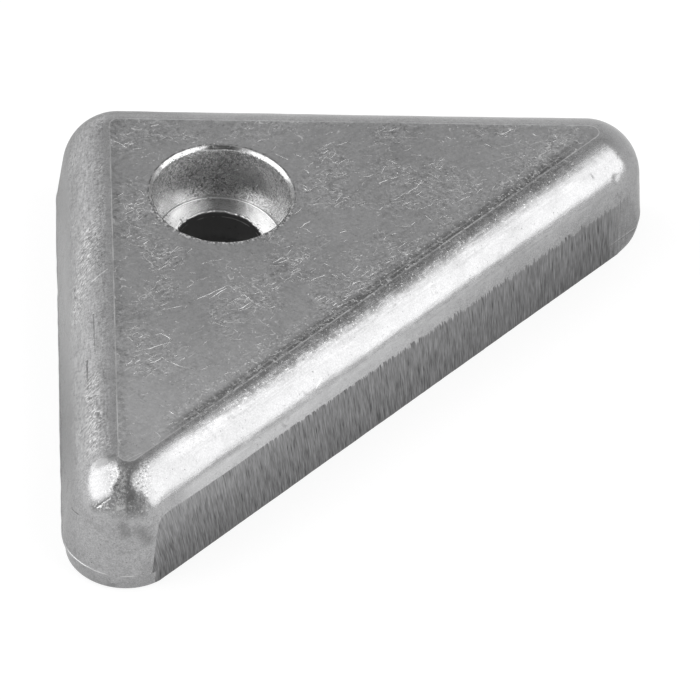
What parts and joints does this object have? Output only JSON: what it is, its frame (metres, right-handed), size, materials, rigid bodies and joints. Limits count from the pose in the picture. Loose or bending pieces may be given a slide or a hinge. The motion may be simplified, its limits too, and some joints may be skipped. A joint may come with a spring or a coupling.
{
  "type": "sacrificial anode",
  "caption": "Triangular cast zinc block with rounded edges, one long side ground flat, and a deep bolt pocket near its square corner.",
  "frame": {"origin": "the bolt hole's axis at the flat mounting face", "axes": "+Z out of the mounting face towards the flat top; the two equal sides face -X and +Y, and the long ground side faces +X -Y"},
  "size_m": [0.069, 0.069, 0.0146],
  "materials": {
    "cast_zinc": "satin as-cast, scuffed"
  },
  "bodies": {
    "root": {"anode_body": "cast_zinc"}
  },
  "joints": []
}
